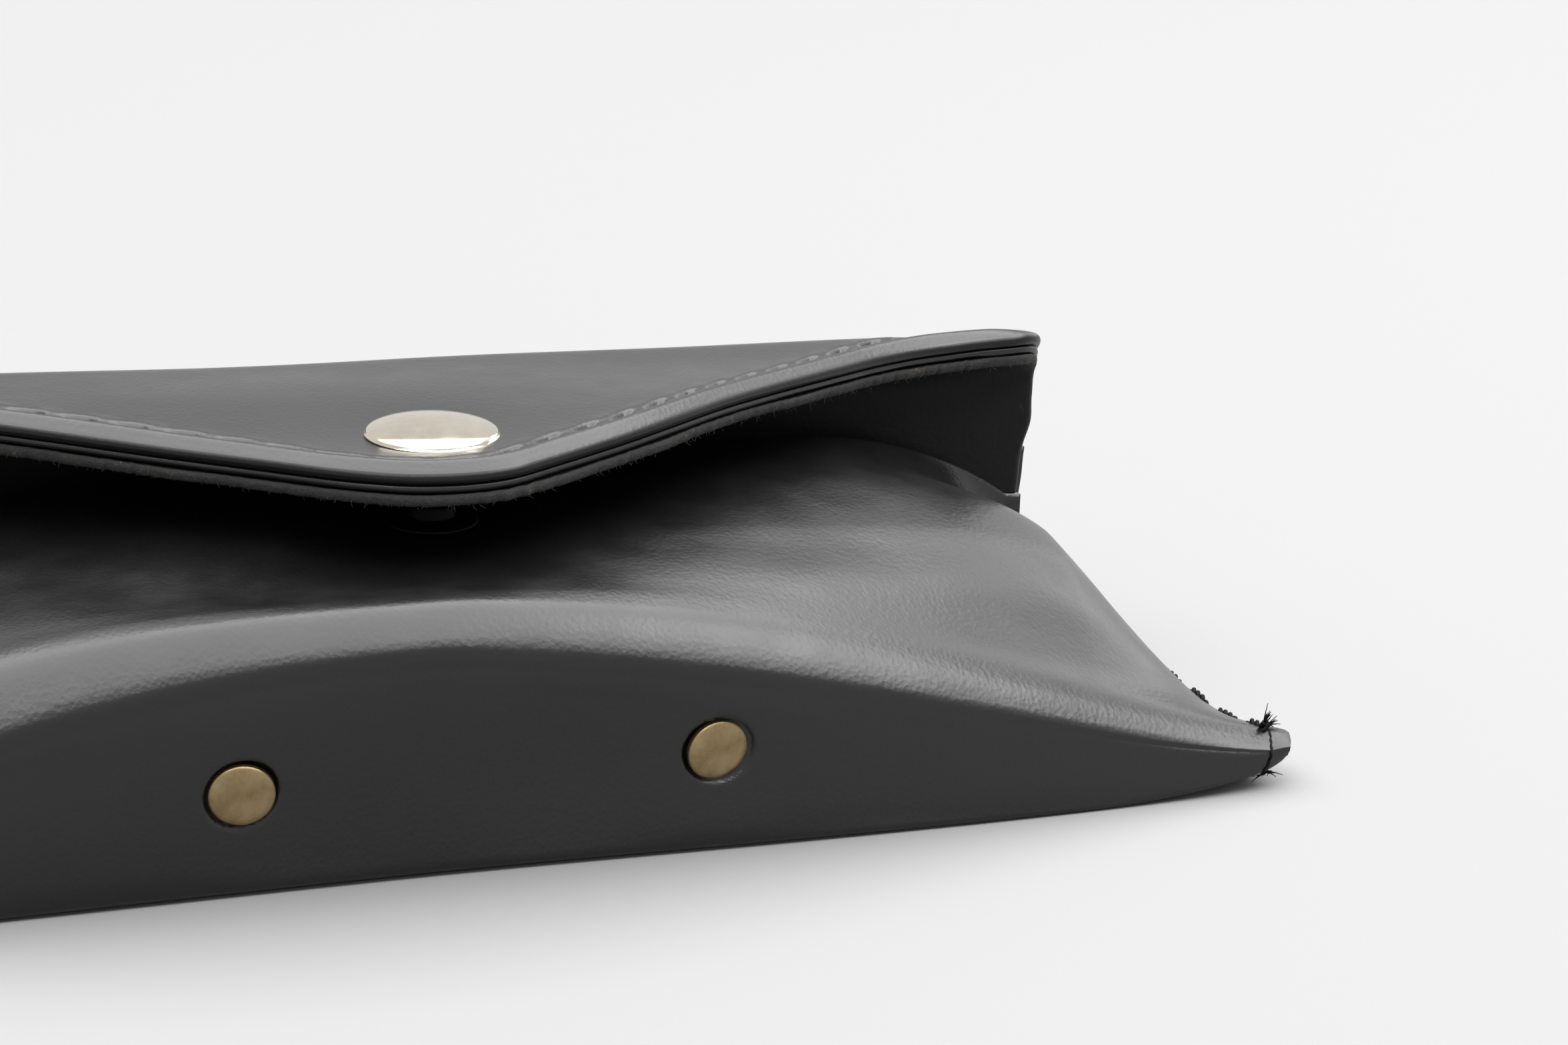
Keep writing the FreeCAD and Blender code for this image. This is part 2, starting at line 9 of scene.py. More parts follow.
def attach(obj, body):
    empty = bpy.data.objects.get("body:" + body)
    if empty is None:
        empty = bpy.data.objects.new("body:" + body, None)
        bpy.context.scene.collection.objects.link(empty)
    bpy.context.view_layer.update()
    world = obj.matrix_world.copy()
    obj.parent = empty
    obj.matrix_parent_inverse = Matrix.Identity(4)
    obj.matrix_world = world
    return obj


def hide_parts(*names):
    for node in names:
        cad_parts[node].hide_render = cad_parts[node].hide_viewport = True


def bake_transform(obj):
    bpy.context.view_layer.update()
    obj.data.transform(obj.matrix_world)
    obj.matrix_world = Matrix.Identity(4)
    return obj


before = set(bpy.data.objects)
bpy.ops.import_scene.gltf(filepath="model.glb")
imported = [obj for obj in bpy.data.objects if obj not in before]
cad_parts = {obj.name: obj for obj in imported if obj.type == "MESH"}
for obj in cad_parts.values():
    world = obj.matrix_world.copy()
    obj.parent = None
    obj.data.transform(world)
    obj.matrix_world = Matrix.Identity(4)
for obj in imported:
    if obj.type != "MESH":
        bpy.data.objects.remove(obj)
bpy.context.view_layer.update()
scene = bpy.context.scene
MM = 0.001

# ---------------------------------------------------------------- viewpoint and studio
# A plain pale paper floor inside a white tent: one big soft light overhead, two weak ones at the
# right, and a low view of the base panel from the front left.
pitch, turn, roll = math.radians(18.0), math.radians(20.0), math.radians(2.0)
forward = Vector((math.sin(turn) * math.cos(pitch), math.cos(turn) * math.cos(pitch), -math.sin(pitch)))
level = Vector((math.cos(turn), -math.sin(turn), 0.0))
upright = level.cross(forward)
across = level * math.cos(roll) + upright * math.sin(roll)
upwards = upright * math.cos(roll) - level * math.sin(roll)
snap_at = Vector((0.0, -2.5, 35.0)) * MM
camera = bpy.data.objects.new("camera", bpy.data.cameras.new("camera"))
scene.collection.objects.link(camera)
camera.data.sensor_width = 36.0
camera.data.lens = 92.8
SNAP_RIGHT, SNAP_UP, SNAP_AWAY = -32.65, 8.84, 375.0
place = snap_at - (across * SNAP_RIGHT + upwards * SNAP_UP + forward * SNAP_AWAY) * MM
camera.matrix_world = Matrix.Translation(place) @ Matrix((across, upwards, -forward)).transposed().to_4x4()
camera.data.clip_start = 0.01
camera.data.clip_end = 20.0
scene.camera = camera
scene.view_settings.view_transform = "Standard"


def new_material(name):
    """An empty node material: its nodes, links and shader."""
    material = bpy.data.materials.new(name)
    material.use_nodes = True
    tree = material.node_tree
    return material, tree, tree.nodes["Principled BSDF"]


def noise(tree, scale, detail=2.0, stretch=(1, 1, 1), turned=(0, 0, 0), rough=0.5):
    """Noise in the piece's own metres, stretched and turned if wanted."""
    place = tree.nodes.new("ShaderNodeTexCoord")
    mapping = tree.nodes.new("ShaderNodeMapping")
    mapping.inputs["Scale"].default_value = stretch
    mapping.inputs["Rotation"].default_value = turned
    node = tree.nodes.new("ShaderNodeTexNoise")
    node.inputs["Scale"].default_value = scale
    node.inputs["Detail"].default_value = detail
    node.inputs["Roughness"].default_value = rough
    tree.links.new(place.outputs["Object"], mapping.inputs["Vector"])
    tree.links.new(mapping.outputs["Vector"], node.inputs["Vector"])
    return node.outputs["Fac"]


def ramp(tree, factor, stops):
    """Colour or grey ramp over a factor; each stop is a place and a colour."""
    node = tree.nodes.new("ShaderNodeValToRGB")
    while len(node.color_ramp.elements) < len(stops):
        node.color_ramp.elements.new(0.5)
    for element, (where, colour) in zip(node.color_ramp.elements, stops):
        element.position = where
        element.color = colour if isinstance(colour, tuple) else (colour, colour, colour, 1.0)
    tree.links.new(factor, node.inputs["Fac"])
    return node.outputs["Color"]


def bump(tree, shader, height, strength, distance, below=None):
    """Bump on a shader's normal, on top of another bump if one is given."""
    node = tree.nodes.new("ShaderNodeBump")
    node.inputs["Strength"].default_value = strength
    node.inputs["Distance"].default_value = distance * MM
    tree.links.new(height, node.inputs["Height"])
    if below is not None:
        tree.links.new(below, node.inputs["Normal"])
    tree.links.new(node.outputs["Normal"], shader.inputs["Normal"])
    return node.outputs["Normal"]


floor_reach = 6.0
floor_mesh = bpy.data.meshes.new("studio_paper")
corners = [(x * floor_reach, y * floor_reach, 0) for x, y in ((-1, -1), (1, -1), (1, 1), (-1, 1))]
floor_mesh.from_pydata(corners, [], [(0, 1, 2, 3)])
floor = bpy.data.objects.new("studio_paper", floor_mesh)
scene.collection.objects.link(floor)
floor_look, floor_tree, floor_shader = new_material("pale_paper")
floor_shader.inputs["Base Color"].default_value = (0.24, 0.24, 0.24, 1.0)
floor_shader.inputs["Roughness"].default_value = 0.75
floor_shader.inputs["Specular IOR Level"].default_value = 0.2
bump(floor_tree, floor_shader, noise(floor_tree, 900.0), 0.05, 0.1)
floor.data.materials.append(floor_look)

world = bpy.data.worlds.new("white_tent")
scene.world = world
world.use_nodes = True
sky = world.node_tree.nodes["Background"]
sky.inputs["Color"].default_value = (1.0, 1.0, 1.0, 1.0)
sky.inputs["Strength"].default_value = 0.85


def softbox(name, centre, target, width, depth, watts):
    """A white rectangular light facing a target."""
    light = bpy.data.lights.new(name, "AREA")
    light.shape = "RECTANGLE"
    light.size, light.size_y = width, depth
    light.energy = watts
    lamp = bpy.data.objects.new(name, light)
    lamp.location = centre
    lamp.rotation_mode = "QUATERNION"
    lamp.rotation_quaternion = (Vector(target) - Vector(centre)).to_track_quat("-Z", "Y")
    scene.collection.objects.link(lamp)


softbox("overhead_softbox", (0.1, 0.15, 1.3), (0.1, 0.15, 0), 2.6, 2.4, 92.0)
softbox("right_softbox", (1.25, 0.75, 0.50), (0, 0, 0), 0.9, 0.7, 3.2)
softbox("side_softbox", (1.05, -0.15, 1.10), (0, 0, 0), 0.6, 0.6, 5.0)

# ---------------------------------------------------------------- pouch hide
# One black hide, about 1.8 mm thick, folded round: front panel, leaf-shaped base panel, back
# panel, and the back wall as far as the seam of the fold. Its ends are sewn flat together.
HALF = 80.0
DEPTH = 29.5
LEATHER = 1.8
TIP_LIFT = 2.2
SEAM_REACH = 78.0
CREASE_PEAK = -7.0
LEAN = 0.153
BASE_HOLLOW = 1.6
BEND = 7.5
WALL_JOIN = 19.0
MOUTH_TOP = 14.3
# lines along the front panel: share of its depth, middle height, fall to the left, to the
# right, and how high its rounded side stands over the flange
PANEL_LINES = [
    (0.0, 22.5, 2.2, 1.35, 0.0),
    (0.03, 24.5, 2.4, 1.40, 0.3),
    (0.06, 25.8, 2.7, 1.45, 0.7),
    (0.10, 26.1, 3.0, 1.55, 1.3),
    (0.15, 25.8, 3.3, 1.75, 2.5),
    (0.22, 25.4, 3.8, 2.1, 4.3),
    (0.30, 25.3, 4.2, 2.5, 5.9),
    (0.375, 25.5, 4.6, 3.0, 6.8),
    (0.565, 26.4, 5.0, 3.7, 6.9),
    (0.76, 27.4, 3.6, 3.6, 0.6),
]


def ease(low, high, value):
    """0 below low, 1 above high, and a smooth rise between them."""
    t = np.clip((value - low) / (high - low), 0.0, 1.0)
    return t * t * (3 - 2 * t)


def bell(value, centre, width):
    """1 at the centre, falling smoothly to nothing on both sides."""
    return np.exp(-((value - centre) / width) ** 2)


def along(share, column):
    """A column of PANEL_LINES at a share of the depth, as a smooth curve."""
    places = [line[0] for line in PANEL_LINES]
    values = [line[column] for line in PANEL_LINES]
    slopes = np.gradient(values, places)
    i = min(max(np.searchsorted(places, share) - 1, 0), len(places) - 2)
    gap = places[i + 1] - places[i]
    t = (share - places[i]) / gap
    return ((2 * t**3 - 3 * t**2 + 1) * values[i] + (t**3 - 2 * t**2 + t) * gap * slopes[i]
            + (3 * t**2 - 2 * t**3) * values[i + 1] + (t**3 - t**2) * gap * slopes[i + 1])


def half_width(y):
    """Middle to the outer edge of the sewn flange, which narrows behind the tip."""
    corner = np.clip((-22.5 - y) / 3.3, 0.0, 1.0) ** 2
    return 76.4 + 3.9 * np.exp(-np.maximum(y + 22.5, 0.0) / 11.0) - 1.0 * corner - 4.4 * ease(7.0, 26.5, y)


def underside(x, y=-26.0):
    """Height of the lowest leather: the tips lift off the table near the front."""
    rise = np.clip((np.abs(x) - 58.0) / 22.0, 0.0, 1.0)
    return TIP_LIFT * rise**2 * (1 - ease(-27.0, -13.0, y))


def crease_y(x):
    """Front to back place of the crease, drawn back towards the tips."""
    return -DEPTH + 3.7 * (np.abs(x) / HALF) ** 3


def fall(x, share, left, right):
    """How far the panel has fallen towards the seam: 0 at its crown, 1 at the flange."""
    peak = CREASE_PEAK * (1.0 - min(1.0, share / 0.375))
    reach = np.where(x < peak, SEAM_REACH + peak, SEAM_REACH - peak)
    power = np.where(x < peak, left, right)
    return np.minimum(1.0, np.abs(x - peak) / reach) ** power


def seam_path(share):
    """Upper face of the flange from the tip back, round the bend and up the wall: y and z."""
    turn_radius = BEND - 2 * LEATHER
    start, flat_end = -25.8, DEPTH - BEND
    straight = flat_end - start
    curve = turn_radius * math.pi / 2
    rise = MOUTH_TOP - BEND
    travel = share * (straight + curve + rise)
    if travel < straight:
        return start + travel, 2 * LEATHER - 1.3 * math.exp(-(travel / 1.6) ** 2)
    if travel < straight + curve:
        angle = (travel - straight) / turn_radius
        return flat_end + turn_radius * math.sin(angle), BEND - turn_radius * math.cos(angle)
    return flat_end + turn_radius, BEND + travel - straight - curve


def front_row(crosswise, share):
    """Points across the front panel at a share of the way from crease to mouth edge."""
    x = crosswise * HALF
    share_line = share * PANEL_LINES[-1][0]
    left, right = along(share_line, 2), along(share_line, 3)
    crown = along(share_line, 1)
    sunk = fall(x, share_line, left, right)
    side_stand = along(share_line, 4) * (1 - np.abs(crosswise) ** 16)
    mouth_y = 14.5 + 5.5 * (x / 60.0) ** 2
    inner_y = crease_y(x) + share * (mouth_y - crease_y(x))
    seam_y, seam_z = seam_path(share)
    seam_z = seam_z + underside(x, seam_y)
    y = inner_y + (seam_y - inner_y) * sunk
    z = crown + (seam_z - crown) * sunk + side_stand * np.minimum(sunk * 1.4, 1.0)
    return np.stack([crosswise * half_width(y), y, z], axis=-1)


def base_row(crosswise, crease, share):
    """Points across the base panel at a share of the way from crease to bottom edge."""
    x = crosswise * HALF
    low = underside(x)
    bottom_y = crease_y(x) + LEAN * (crease[:, 2] - low)
    y = crease[:, 1] + (bottom_y - crease[:, 1]) * share
    y = y + BASE_HOLLOW * np.exp(-(x / 32.0) ** 2) * np.sin(math.pi * share)
    z = crease[:, 2] + (low - crease[:, 2]) * share
    tucked = 1.1 * ease(72.0, 80.0, np.abs(x)) * share**2
    return np.stack([crease[:, 0] - np.sign(x) * tucked, y, z], axis=-1)


def back_row(crosswise, bottom, share):
    """Points across the back panel, from the bottom edge to where the bend starts."""
    y = bottom[:, 1] + (DEPTH - BEND - bottom[:, 1]) * share
    x = crosswise * half_width(y) - np.sign(crosswise) * 1.1 * ease(0.9, 1.0, np.abs(crosswise)) * (1 - share)
    return np.stack([x, y, underside(crosswise * HALF, y)], axis=-1)


def wall_half(z):
    """Half the width of the back wall and of the flap above it."""
    return 72.6 + 1.4 * ease(14.0, 26.0, z) + 0.12 * np.sin(z * 0.9)


def wall_row(crosswise, travel):
    """Points round the bend and up the back wall, by distance along the leather."""
    curve = BEND * math.pi / 2
    angle = min(travel / BEND, math.pi / 2)
    y = DEPTH - BEND + BEND * math.sin(angle)
    z = BEND - BEND * math.cos(angle) + max(0.0, travel - curve)
    lift = underside(crosswise * HALF, y) * (1 - ease(0.0, 16.0, z))
    side = half_width(y) + (wall_half(z) - half_width(y)) * ease(0.0, 10.0, z)
    return np.stack([crosswise * side, np.full_like(crosswise, y), z + lift], axis=-1)


def spaced(count, crowd):
    """Places from -1 to 1 that crowd towards both ends."""
    t = np.linspace(-1, 1, count)
    return t * (1 + crowd * (1 - t * t))


def soften(rows, centre, reach, times):
    """Rounds a fold in a grid of rows by averaging each row with its neighbours."""
    for _ in range(times):
        low, high = centre - reach, centre + reach
        rows[low:high] = 0.5 * rows[low:high] + 0.25 * (rows[low - 1:high - 1] + rows[low + 1:high + 1])


def normals(rows):
    """Outward unit normals of a grid whose rows run along X."""
    down = np.gradient(rows, axis=0)
    side = np.gradient(rows, axis=1)
    out = np.cross(down, side)
    return out / np.maximum(np.linalg.norm(out, axis=-1, keepdims=True), 1e-9)


def lumps(x, y, seed, size, count=9):
    """Slow random swell over a surface, between about -1 and 1."""
    draw = random.Random(seed)
    total = np.zeros_like(x)
    for _ in range(count):
        angle = draw.uniform(0, math.tau)
        wave = math.tau / (size * draw.uniform(0.7, 1.6))
        total += np.sin(wave * (x * math.cos(angle) + y * math.sin(angle)) + draw.uniform(0, math.tau))
    return total / math.sqrt(count)


def grid_object(name, rows, material, closed=False):
    """Mesh of quads over rows of points in millimetres; closed joins the last row to the first."""
    count, width = rows.shape[:2]
    points = (rows.reshape(-1, 3) * MM).tolist()
    last = count if closed else count - 1
    faces = []
    for j in range(last):
        a, b = j * width, ((j + 1) % count) * width
        faces += [(a + i, b + i, b + i + 1, a + i + 1) for i in range(width - 1)]
    mesh = bpy.data.meshes.new(name)
    mesh.from_pydata(points, [], faces)
    mesh.validate()
    mesh.shade_smooth()
    mesh.materials.append(material)
    item = bpy.data.objects.new(name, mesh)
    scene.collection.objects.link(item)
    return item


def bake(item, kind, **settings):
    """Adds a modifier, applies it, and keeps the result as the mesh."""
    modifier = item.modifiers.new(kind.lower(), kind)
    for key, value in settings.items():
        setattr(modifier, key, value)
    graph = bpy.context.evaluated_depsgraph_get()
    made = bpy.data.meshes.new_from_object(item.evaluated_get(graph))
    old = item.data
    item.modifiers.clear()
    item.data = made
    bpy.data.meshes.remove(old)
    return item


def black_leather(name, grain_turn, pale=0.0035):
    """Black satin hide: fine slanting grain, pores, slow mottling and a little worn sheen."""
    material, tree, shader = new_material(name)
    shader.inputs["IOR"].default_value = 1.5
    shader.inputs["Specular IOR Level"].default_value = 0.5
    mottle = noise(tree, 60.0, 4.0)
    deep_black = (pale * 0.55, pale * 0.54, pale * 0.54, 1)
    worn_black = (pale, pale * 0.99, pale * 0.97, 1)
    tint = ramp(tree, mottle, [(0.3, deep_black), (0.75, worn_black)])
    tree.links.new(tint, shader.inputs["Base Color"])
    polish = ramp(tree, noise(tree, 180.0, 5.0), [(0.25, 0.27), (0.8, 0.37)])
    tree.links.new(polish, shader.inputs["Roughness"])
    hairs = noise(tree, 2300.0, 2.0, stretch=(1.0, 0.45, 0.9), turned=(0, 0, math.radians(grain_turn)))
    first = bump(tree, shader, hairs, 0.20, 0.10)
    cells = tree.nodes.new("ShaderNodeTexVoronoi")
    cells.inputs["Scale"].default_value = 1900.0
    where = tree.nodes.new("ShaderNodeTexCoord")
    tree.links.new(where.outputs["Object"], cells.inputs["Vector"])
    second = bump(tree, shader, cells.outputs["Distance"], 0.16, 0.10, below=first)
    bump(tree, shader, noise(tree, 260.0, 3.0), 0.10, 0.20, below=second)
    return material


hide_leather = black_leather("pouch_leather", 55.0)
RIVET_X, RIVET_SHIFT, RIVET_Z = 22.0, -1.3, 10.0
near_rivet = np.linspace(-4.6, 4.6, 38)
extra = [(side * RIVET_X + RIVET_SHIFT + near_rivet) / HALF for side in (-1, 1)]
# columns of points run across the hide from -1 to 1, closer together at the rivets and the ends
crosswise = np.unique(np.round(np.concatenate([spaced(231, 0.35)] + extra), 4))
FRONT_ROWS, BACK_ROWS, WALL_ROWS = 76, 26, 26
front = [front_row(crosswise, share) for share in np.linspace(1.0, 0.0, FRONT_ROWS)]
# rows are closer together over the rivets' band of the base panel
rivet_band = np.linspace(0.31, 0.78, 40)
base_shares = np.concatenate([np.linspace(0.0, 0.3, 12), rivet_band, np.linspace(0.8, 1.0, 9)])
BASE_ROWS = len(base_shares)
base = [base_row(crosswise, front[-1], share) for share in base_shares[1:]]
back = [back_row(crosswise, base[-1], share) for share in np.linspace(0.0, 1.0, BACK_ROWS)[1:]]
wall_travel = BEND * math.pi / 2 + WALL_JOIN - BEND
wall = [wall_row(crosswise, travel) for travel in np.linspace(0.0, wall_travel, WALL_ROWS)[1:]]
hide = np.array(front + base + back + wall)
crease_row = FRONT_ROWS - 1
bottom_row = crease_row + BASE_ROWS - 1
soften(hide, crease_row, 2, 1)
soften(hide, bottom_row, 3, 2)

# the two sheets are pressed together and rounded off at the sewn ends
PRESS_FROM, PRESS_BY, THINNED_TO = 0.972, 0.30, 0.68
pressed = np.clip((np.abs(crosswise) - PRESS_FROM) / (1 - PRESS_FROM), 0.0, 1.0)[None, :] ** 2.2
pressed = pressed * (1 - ease(14.0, 24.0, hide[..., 1]))
seam_middle = underside(hide[..., 0], hide[..., 1]) + LEATHER
hide[..., 2] = seam_middle + (hide[..., 2] - seam_middle) * (1 - PRESS_BY * pressed)

# the leather is rolled over at the crease and drawn in under it, sinks where the panel is
# slack, and is dented round the rivets
outward = normals(hide)
row_index = np.arange(len(hide))[:, None] + np.zeros_like(crosswise)[None, :]
X, Y, Z = hide[..., 0], hide[..., 1], hide[..., 2]
swell = 0.07 * bell(row_index, crease_row - 1.5, 1.6) - 0.17 * bell(row_index, crease_row + 2.0, 1.2)
swell *= 1 - 0.85 * ease(66.0, 79.0, np.abs(X))
on_front = (row_index < crease_row) * (1 - ease(60.0, 76.0, np.abs(X)))
on_front = on_front * ease(3.0, 26.0, crease_row - row_index)
swell += 0.18 * on_front * lumps(X, Y, 4, 40.0)
swell += 0.025 * on_front * lumps(X, Y, 9, 13.0)
swell -= 2.2 * on_front * ease(-24.0, 8.0, Y) * ease(12.0, 38.0, -X)
swell -= 1.1 * on_front * ease(-20.0, 6.0, Y) * bell(X, 34.0, 17.0)
on_base = ease(crease_row + 2, crease_row + 8, row_index) * (1 - ease(bottom_row - 6, bottom_row, row_index))
swell += 0.16 * on_base * lumps(X, Z, 2, 26.0)
on_wall = ease(bottom_row + BACK_ROWS + 6, bottom_row + BACK_ROWS + 14, row_index)
on_wall = on_wall * (1 - ease(14.0, WALL_JOIN - 1.0, Z)) * (1 - ease(60.0, 72.0, np.abs(X)))
swell += 0.25 * on_wall * lumps(X, Z, 5, 22.0)
for side in (-1, 1):
    away = np.hypot(X - side * RIVET_X - RIVET_SHIFT, Z - RIVET_Z) + 99.0 * (1 - on_base)
    swell -= 0.18 * np.exp(-(away / 5.4) ** 2) + 0.45 * (1 - ease(3.1, 3.5, away))
hide = hide + outward * swell[..., None]

pouch_hide = grid_object("pouch_hide", hide, hide_leather)
full = pouch_hide.vertex_groups.new(name="full_thickness")
for index, share in enumerate((1 - pressed).ravel()):
    full.add([index], float(share), "REPLACE")
bake(pouch_hide, "SOLIDIFY", thickness=LEATHER * MM * 0.98, offset=-1.0,
     vertex_group="full_thickness", thickness_vertex_group=THINNED_TO)
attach(pouch_hide, "pouch")
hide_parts("body_leather")

# ---------------------------------------------------------------- pouch lining and stiffener
# Thin black suede glued inside the hide, and the grey board behind the base panel that keeps
# it upright. Both stop short of the sewn ends.
suede, suede_tree, suede_shader = new_material("suede")
suede_shader.inputs["Base Color"].default_value = (0.006, 0.0058, 0.0055, 1.0)
suede_shader.inputs["Roughness"].default_value = 0.95
suede_shader.inputs["Specular IOR Level"].default_value = 0.2
suede_shader.inputs["Sheen Weight"].default_value = 0.15
bump(suede_tree, suede_shader, noise(suede_tree, 2600.0, 4.0), 0.6, 0.15)
inner = [column for column in range(len(crosswise)) if abs(crosswise[column]) < 0.9]
middle_heights = hide[:, len(crosswise) // 2, 2]
low_enough = int(np.argmax(middle_heights < 0.5))
below_flap = [row for row in range(2, len(hide)) if row < low_enough or middle_heights[row] < 14.4]
inside = (hide - normals(hide) * (LEATHER + 0.05))[below_flap][:, inner]
pouch_lining = grid_object("pouch_lining", inside, suede)
SUEDE = 0.55
bake(pouch_lining, "SOLIDIFY", thickness=SUEDE * MM, offset=-1.0)
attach(pouch_lining, "pouch")
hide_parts("body_lining")

board, board_tree, board_shader = new_material("grey_board")
board_fibre = noise(board_tree, 900.0, 5.0)
board_tint = ramp(board_tree, board_fibre, [(0.3, (0.16, 0.145, 0.12, 1)), (0.7, (0.24, 0.22, 0.185, 1))])
board_tree.links.new(board_tint, board_shader.inputs["Base Color"])
board_shader.inputs["Roughness"].default_value = 0.9
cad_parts["base_stiffener"].data.materials.clear()
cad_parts["base_stiffener"].data.materials.append(board)

# ---------------------------------------------------------------- rivets through the base panel
# Two antique brass rivets with flat, slightly worn heads let into the leather; each shank
# passes through hide, board and lining and is clenched over a burr inside.


def turned(name, profile, material, round_by=0.0, steps=96):
    """Turned piece about Z from radius and height pairs in millimetres."""
    points = []
    for step in range(steps):
        angle = math.tau * step / steps
        points += [(r * MM * math.cos(angle), r * MM * math.sin(angle), z * MM) for r, z in profile]
    count = len(profile)
    faces = []
    for step in range(steps):
        a, b = step * count, (step + 1) % steps * count
        faces += [(a + i, a + (i + 1) % count, b + (i + 1) % count, b + i) for i in range(count)]
    mesh = bpy.data.meshes.new(name)
    mesh.from_pydata(points, [], faces)
    item = bpy.data.objects.new(name, mesh)
    scene.collection.objects.link(item)
    bake(item, "WELD", merge_threshold=0.000002)
    if round_by:
        bake(item, "BEVEL", width=round_by * MM, segments=4, limit_method="ANGLE",
             angle_limit=math.radians(35))
    item.data.shade_smooth()
    item.data.set_sharp_from_angle(angle=math.radians(50))
    item.data.materials.clear()
    item.data.materials.append(material)
    return item


def metal(name, colour, dark, rough_low, rough_high, scale=400.0):
    """Metal with slow tarnish patches and faint scuffs."""
    material, tree, shader = new_material(name)
    shader.inputs["Metallic"].default_value = 1.0
    tarnish = ramp(tree, noise(tree, scale, 5.0, rough=0.65), [(0.3, dark), (0.7, colour)])
    tree.links.new(tarnish, shader.inputs["Base Color"])
    rough = ramp(tree, noise(tree, scale * 1.7, 4.0), [(0.25, rough_low), (0.75, rough_high)])
    tree.links.new(rough, shader.inputs["Roughness"])
    scuffs = noise(tree, 1400.0, 3.0, stretch=(1.0, 0.12, 1.0), turned=(0, 0, 0.6))
    bump(tree, shader, scuffs, 0.12, 0.05)
    return material


brass = metal("antique_brass", (0.34, 0.255, 0.14, 1), (0.20, 0.14, 0.07, 1), 0.32, 0.48)
nickel = metal("warm_nickel", (0.70, 0.64, 0.54, 1), (0.60, 0.54, 0.44, 1), 0.06, 0.14)
RIVET_LEAN = math.atan(LEAN)
head_profile = [(0, -2.6), (1.3, -2.6), (1.3, -0.55), (2.85, -0.55), (3.0, -0.4), (3.0, 0.12), (2.72, 0.36),
                (2.2, 0.42), (1.1, 0.44), (0, 0.42)]
burr_profile = [(1.32, -3.6), (2.5, -3.6), (2.7, -3.4), (2.7, -3.0), (1.32, -3.0)]
for side, side_name in ((-1, "left"), (1, "right")):
    x = side * RIVET_X + RIVET_SHIFT
    y = crease_y(x) + LEAN * (22.0 - RIVET_Z) + BASE_HOLLOW * math.exp(-(x / 32.0) ** 2) * 0.98
    set_in = Matrix.Translation(Vector((x, y + 0.05, RIVET_Z)) * MM)
    set_in = set_in @ Matrix.Rotation(side * math.radians(6.0), 4, "Z")
    set_in = set_in @ Matrix.Rotation(math.pi / 2 + RIVET_LEAN, 4, "X")
    head = turned("rivet_" + side_name + "_brass", head_profile, brass, round_by=0.12)
    burr = turned("burr_" + side_name + "_brass", burr_profile, brass, round_by=0.1)
    for piece, node in ((head, "rivet_" + side_name), (burr, "rivet_burr_" + side_name)):
        piece.matrix_world = set_in
        bpy.context.view_layer.update()
        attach(piece, "pouch")
        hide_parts(node)

# ---------------------------------------------------------------- waxed thread along the sewn ends
# Black two-ply waxed thread sewn through both layers of each flange; each seam ends at the
# front in a tied-off stitch with cut, frayed tails, and one stitch that wraps round the end.
waxed, waxed_tree, waxed_shader = new_material("waxed_thread")
waxed_shader.inputs["Base Color"].default_value = (0.004, 0.004, 0.004, 1.0)
waxed_shader.inputs["Roughness"].default_value = 0.6
waxed_shader.inputs["Specular IOR Level"].default_value = 0.1
bump(waxed_tree, waxed_shader, noise(waxed_tree, 5000.0, 3.0), 0.5, 0.05)


